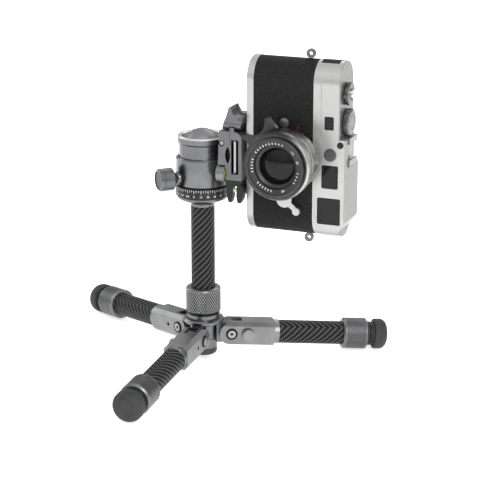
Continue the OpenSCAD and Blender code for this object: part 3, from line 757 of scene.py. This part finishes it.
def glyph(text, size):
    """Outline mesh of a short run of digits, size in millimetres, centred."""
    curve = bpy.data.curves.new("glyph", "FONT")
    curve.body = text
    curve.size = size
    curve.align_x = "CENTER"
    curve.align_y = "CENTER"
    curve.resolution_u = 3
    o = bpy.data.objects.new("glyph", curve)
    bpy.context.scene.collection.objects.link(o)
    bpy.context.view_layer.update()
    mesh = bpy.data.meshes.new_from_object(o)
    verts = [v.co.copy() for v in mesh.vertices]
    faces = [tuple(p.vertices) for p in mesh.polygons]
    bpy.data.objects.remove(o)
    bpy.data.curves.remove(curve)
    bpy.data.meshes.remove(mesh)
    return verts, faces


def bar(width, length):
    """Mesh of a printed tick, in the form that glyph gives."""
    w, h = width / 2, length / 2
    corners = [Vector((-w, -h, 0)), Vector((w, -h, 0)), Vector((w, h, 0)), Vector((-w, h, 0))]
    return corners, [(0, 1, 2, 3)]


def printed(name, parts, place, body):
    """White print. parts are ((verts, faces), map), where map turns a glyph's x, y
    into the x, y, z of place."""
    verts, faces = [], []
    for (vs, fs), to in parts:
        base = len(verts)
        verts += [place(*to(v.x, v.y))[:] for v in vs]
        faces += [tuple(base + i for i in f) for f in fs]
    mesh = bpy.data.meshes.new(name)
    mesh.from_pydata(verts, [], faces)
    return piece(name, mesh, white, body)


def round_wall(radius, angle, t):
    """Wraps a glyph on a cylinder's wall."""
    def to(x, y):
        a = angle + x / radius
        return radius * math.cos(a), radius * math.sin(a), t + y
    return to


def round_face(radius, angle, height):
    """Lays a glyph round an end face, whose distance along the axis is height(radius)."""
    def to(x, y):
        a = angle - x / radius
        r = radius + y
        return r * math.cos(a), r * math.sin(a), height(r)
    return to


# Column collar and the three twist collars
turned("column_collar_knurled", [
    (12.1, 39.9), (13.3, 39.9), (13.7, 40.3), (13.7, 42.0), (COLUMN_COLLAR_R, 42.5),
    (COLUMN_COLLAR_R, 60.3), (14.0, 61.1), (13.3, 61.7), (12.4, 62), (9.95, 62), (9.95, 59), (12.1, 59)
], COLUMN, UP, collar_knurl, "column_collar", ["column_collar"], bands=[COLUMN_BAND])
for side in LEGS:
    pivot = joint(side + "_leg_fold")["pos_m"]
    outward = joint(side + "_leg_length")["axis"]
    # Grooves darkened with painted shade
    twist_knurl = knurled(side + "_twist_knurl", (0.15, 0.151, 0.154), (0.04, 0.04, 0.042),
                          TWIST_BAND, pivot, outward, rough=0.36)
    turned(side + "_collar_knurled", [
        (9.7, 94.2), (11.6, 94.2), (TWIST_COLLAR_R, 95.4), (TWIST_COLLAR_R, 113.9), (11.6, 115.1),
        (8.1, 115.1), (8.1, 112.4), (9.7, 112.4)
    ], pivot, outward, twist_knurl, side + "_leg_collar", [side + "_leg_collar"], bands=[TWIST_BAND])

# Head knobs
turned("main_knob_knurled", [
    (0, 10.8), (4, 10.8), (4, 24.6), (7, 24.6), (7, 26.4), (11.5, 26.4), (12.5, 27.4), (12.5, 42.9),
    (11.6, 44.2), (10.2, 44.6), (9.6, 44.3), (9, 44.6), (4, 45), (0, 45)
], MAIN_KNOB, BACK, knurl_grey, "main_knob", ["main_knob"],
    bands=[(12.5, 29, 41.4, "straight", 36, 0.5)])
PAN_KNOB_AXIS = Vector((-1, -1, 0)).normalized()
pan_grey = metal("pan_knob_grey", (0.14, 0.141, 0.144), 0.3, metallic=0.9)
end_face = near(pan_grey, PAN_KNOB + PAN_KNOB_AXIS * 37.5 * MM, PAN_KNOB_AXIS, 0, 7.25, 0.9)
laid_over(pan_grey, end_face, (0.012, 0.012, 0.012))
turned("pan_knob_turned", [
    (0, 9.3), (2.5, 9.3), (2.5, 23.7), (4.4, 23.7), (5.2, 26), (8.3, 26), (9.15, 26.8), (9.15, 34.4),
    (8.75, 34.7), (8.75, 35.3), (9.15, 35.6), (9.15, 37), (8.2, 38.1), (7.3, 38.2), (7, 37.7), (0, 37.7)
], PAN_KNOB, PAN_KNOB_AXIS, pan_grey, "pan_knob", ["pan_knob"],
    bands=[(9.15, 27.4, 33.8, "straight", 24, 0.1)])

# Scale on the black ring under the head: a number each 15 degrees, a tick each 5
scale_start = wall_angle(UP, FRONT) + math.radians(4)
parts = []
for angle in range(0, 360, 15):
    parts.append((glyph(str(angle), 2.4), round_wall(SCALE_R, scale_start + math.radians(angle), 142.7)))
for angle in range(0, 360, 5):
    length, t = (2.7, 146.6) if angle % 15 == 0 else (1.6, 147.15)
    parts.append((bar(0.34, length), round_wall(SCALE_R, scale_start + math.radians(angle), t)))
printed("head_scale", parts, frame_of(COLUMN, UP), "column")

# Knurled rings and dials of the camera
turned("aperture_ring_knurled", [
    (22.5, 37.9), (25.6, 37.9), (APERTURE_R, 39), (APERTURE_R, 46.6), (25.6, 47.9), (25.2, 48.6),
    (22.5, 48.6)
], LENS, FRONT, aperture_knurl, "aperture_ring", ["aperture_ring"], bands=[APERTURE_BAND])
turned("focus_ring_grip", [
    (24.9, 28.2), (FOCUS_R, 28.2), (FOCUS_R, 33), (24.9, 33)
], LENS, FRONT, focus_knurl, "focus_ring", bands=[FOCUS_BAND])
turned("speed_dial_knurled", [
    (0, 117.6), (2.5, 117.6), (2.5, 120.3), (10, 120.3), (SPEED_DIAL_R, 120.9), (SPEED_DIAL_R, 123.9),
    (9.9, 124.5), (9.3, 124.8), (6, 124.8), (5.7, 124.5), (5.2, 124.5), (4.9, 124.8), (0, 124.8)
], SPEED_DIAL, RIGHT, dial_metal, "speed_dial", ["speed_dial"], bands=[SPEED_BAND])
turned("drive_collar_grip", [
    (8.5, 121.1), (DRIVE_COLLAR_R, 121.1), (DRIVE_COLLAR_R, 123.2), (8.5, 123.2)
], DRIVE_COLLAR, RIGHT, dial_metal, "drive_collar", bands=[DRIVE_BAND])

# Numerals on the dials and on the lens, plain numbers only
PRINT_GAP = 0.05  # how far print stands off a face
DIAL_PRINT = 124.83  # height of the speed dial's print, just above its face
parts = []
for i, text in enumerate(("0", "1", "2", "4", "8", "15", "30", "60", "125", "250", "500", "1000")):
    number = glyph(text, 1.9 if len(text) < 4 else 1.55)
    parts.append((number, round_face(7.9, -math.radians(30 * i), lambda r: DIAL_PRINT)))
printed("speed_numerals", parts, frame_of(SPEED_DIAL, RIGHT), "speed_dial")

lens_place = frame_of(LENS, FRONT)
lens_side = wall_angle(FRONT, RIGHT)


def lens_numerals(name, texts, size, radius, step, t, body):
    """A row of numbers on a ring of the lens, centred on the side that faces right."""
    start = -step * (len(texts) - 1) / 2
    row = []
    for i, text in enumerate(texts):
        angle = lens_side + math.radians(start + step * i)
        row.append((glyph(text, size), round_wall(radius, angle, t)))
    printed(name, row, lens_place, body)


lens_numerals("aperture_numerals", ("2", "2.8", "4", "5.6", "8", "11", "16"),
              2.5, 24.04, 12, 35.9, "lens_barrel")
lens_numerals("distance_numerals", ("0.7", "1", "1.5", "2", "3", "5", "10"),
              2.6, 25.24, 14, 25.5, "focus_ring")


def name_ring_height(r):
    """Distance along the lens's axis just in front of the sloping name ring."""
    return 49.6 + (r - 17.3) * (50.6 - 49.6) / (20.6 - 17.3) + PRINT_GAP


parts = []
for angle, text in ((42, "1:2"), (17, "35"), (-69, "43")):
    parts.append((glyph(text, 2.7), round_face(18.9, lens_side + math.radians(angle), name_ring_height)))
for start, step, count in ((72, 8.1, 10), (-9, -8.5, 4), (-99, -7.5, 6), (164, 7.5, 5)):
    for i in range(count):
        angle = lens_side + math.radians(start + step * i)
        parts.append((bar(0.55, 1.5), round_face(18.6, angle, name_ring_height)))
printed("front_numerals", parts, lens_place, "lens_barrel")


# Dark grained panels at the ends of the top plate
END_ROUND = 17  # radius of the camera's round ends


def end_panel(name, middle_z, way):
    """A thin curved panel on a round end. way is 1 at the upper end and -1 at the lower."""
    rows, columns = 40, 14
    near_x, far_x = 101.5, 116.1
    first_angle, turn = -24, 87
    outer, inner = END_ROUND + 0.06, END_ROUND - 0.9
    verts, faces = [], []
    for radius in (outer, inner):
        for i in range(rows + 1):
            a = math.radians(first_angle + turn * i / rows)
            for j in range(columns + 1):
                x = near_x + (far_x - near_x) * j / columns
                verts.append(at(x, radius * math.sin(a), middle_z + way * radius * math.cos(a))[:])
    n, step = (rows + 1) * (columns + 1), columns + 1
    for i in range(rows):
        for j in range(columns):
            a = i * step + j
            faces.append((a, a + 1, a + step + 1, a + step))
            faces.append((n + a, n + a + step, n + a + step + 1, n + a + 1))
    edge = list(range(step)) + [i * step + columns for i in range(1, rows + 1)]
    edge += [rows * step + j for j in range(columns - 1, -1, -1)]
    edge += [i * step for i in range(rows - 1, 0, -1)]
    for a, b in zip(edge, edge[1:] + edge[:1]):
        faces.append((a, n + a, n + b, b))
    return piece(name, closed_mesh(name, verts, faces), leather, "camera")


plate_low, plate_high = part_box("top_plate")
end_panel("end_panel_low", plate_low.z / MM + END_ROUND, -1)
end_panel("end_panel_high", plate_high.z / MM - END_ROUND, 1)


# Thin frames on the front of the window glasses
def rounded(x0, x1, z0, z1, r, steps=6):
    """Outline of a rectangle with round corners."""
    points = []
    corners = ((x1 - r, z1 - r, 0), (x0 + r, z1 - r, 90), (x0 + r, z0 + r, 180), (x1 - r, z0 + r, 270))
    for cx, cz, start in corners:
        for i in range(steps + 1):
            a = math.radians(start + 90 * i / steps)
            points.append((cx + r * math.cos(a), cz + r * math.sin(a)))
    return points


def window_frame(name, x0, x1, z0, z1, r, width):
    back, front = -16.58, -16.76
    outline = rounded(x0, x1, z0, z1, r)
    opening = rounded(x0 + width, x1 - width, z0 + width, z1 - width, max(0.2, r - width))
    rings = [(outline, back), (outline, front), (opening, front), (opening, back)]
    verts = [at(x, y, z)[:] for ring, y in rings for x, z in ring]
    n, faces = len(outline), []
    for k in range(4):
        for i in range(n):
            j = (i + 1) % n
            faces.append((k * n + i, k * n + j, (k + 1) % 4 * n + j, (k + 1) % 4 * n + i))
    return piece(name, closed_mesh(name, verts, faces, smooth=False), black_metal, "camera")


window_frame("finder_frame", 104.3, 120.1, 132.0, 149.8, 1.2, 0.45)
window_frame("bright_line_frame", 107.4, 118.2, 160.8, 175.9, 0.8, 0.3)
window_frame("range_frame", 109.3, 114.2, 206.8, 214.3, 0.8, 0.3)


# ---- Floor, light and camera ----

def floor():
    """A plain white floor just under the object, in metres."""
    half, gap = 6, 0.0002
    mesh = bpy.data.meshes.new("floor")
    corners = [(-half, -half, 0), (half, -half, 0), (half, half, 0), (-half, half, 0)]
    mesh.from_pydata(corners, [], [(0, 1, 2, 3)])
    o = bpy.data.objects.new("floor", mesh)
    bpy.context.scene.collection.objects.link(o)
    o.data.materials.append(new_material(
        "floor_white", (0.93, 0.93, 0.93), 0.0, 0.9,
        Specular_IOR_Level=0.1, Emission_Color=(1, 1, 1, 1), Emission_Strength=0.6))
    o.location.z = cad_box[0].z - gap


def soft_light(name, offset, size, power):
    """A rectangular light that looks at the object's middle from an offset in metres."""
    light = bpy.data.lights.new(name, "AREA")
    light.shape = "RECTANGLE"
    light.size, light.size_y = size
    light.energy = power
    o = bpy.data.objects.new(name, light)
    bpy.context.scene.collection.objects.link(o)
    o.location = (cad_box[0] + cad_box[1]) / 2 + Vector(offset)
    o.rotation_euler = (-Vector(offset)).to_track_quat("-Z", "Y").to_euler()


def studio_sky():
    """A pale sky, brighter above and on the right-hand front."""
    world = bpy.data.worlds.new("studio")
    bpy.context.scene.world = world
    world.use_nodes = True
    tree = world.node_tree
    sky = tree.nodes["Background"]
    x, y, z = split_coords(tree, "Generated")
    tone = span(tree, z, -0.1, 0.7, 0.42, 1.15, smooth=True)
    azimuth = math_node(tree, "ARCTAN2", y, x)
    side_tone = math_node(tree, "COSINE", plus(tree, azimuth, math.radians(50)))
    tone = times(tree, tone, span(tree, side_tone, -0.6, 0.9, 0.85, 1.4, smooth=True))
    tree.links.new(joined(tree, tone, tone, tone), sky.inputs["Color"])
    sky.inputs["Strength"].default_value = 0.85


def add_camera():
    """A long lens from the front, right and above, aimed a little below the object's middle."""
    camera = bpy.data.cameras.new("camera")
    camera.sensor_width = 36
    camera.lens = 127.57
    camera.clip_start, camera.clip_end = 0.05, 30
    eye = bpy.data.objects.new("camera", camera)
    bpy.context.scene.collection.objects.link(eye)
    eye.location = at(513.78, -1228.28, 503.79)
    looks_at = at(29.45, 11.51, 99.32)
    eye.rotation_euler = (looks_at - eye.location).to_track_quat("-Z", "Y").to_euler()
    bpy.context.scene.camera = eye


floor()
soft_light("key", (0.95, -1.15, 0.95), (0.45, 1.2), 15)
soft_light("fill", (-1.4, 0.3, 0.5), (0.5, 1.0), 4)
soft_light("back", (0.2, 1.4, 1.2), (1.4, 0.7), 6)
studio_sky()
add_camera()
bpy.context.scene.view_settings.view_transform = "Standard"

bpy.context.view_layer.update()
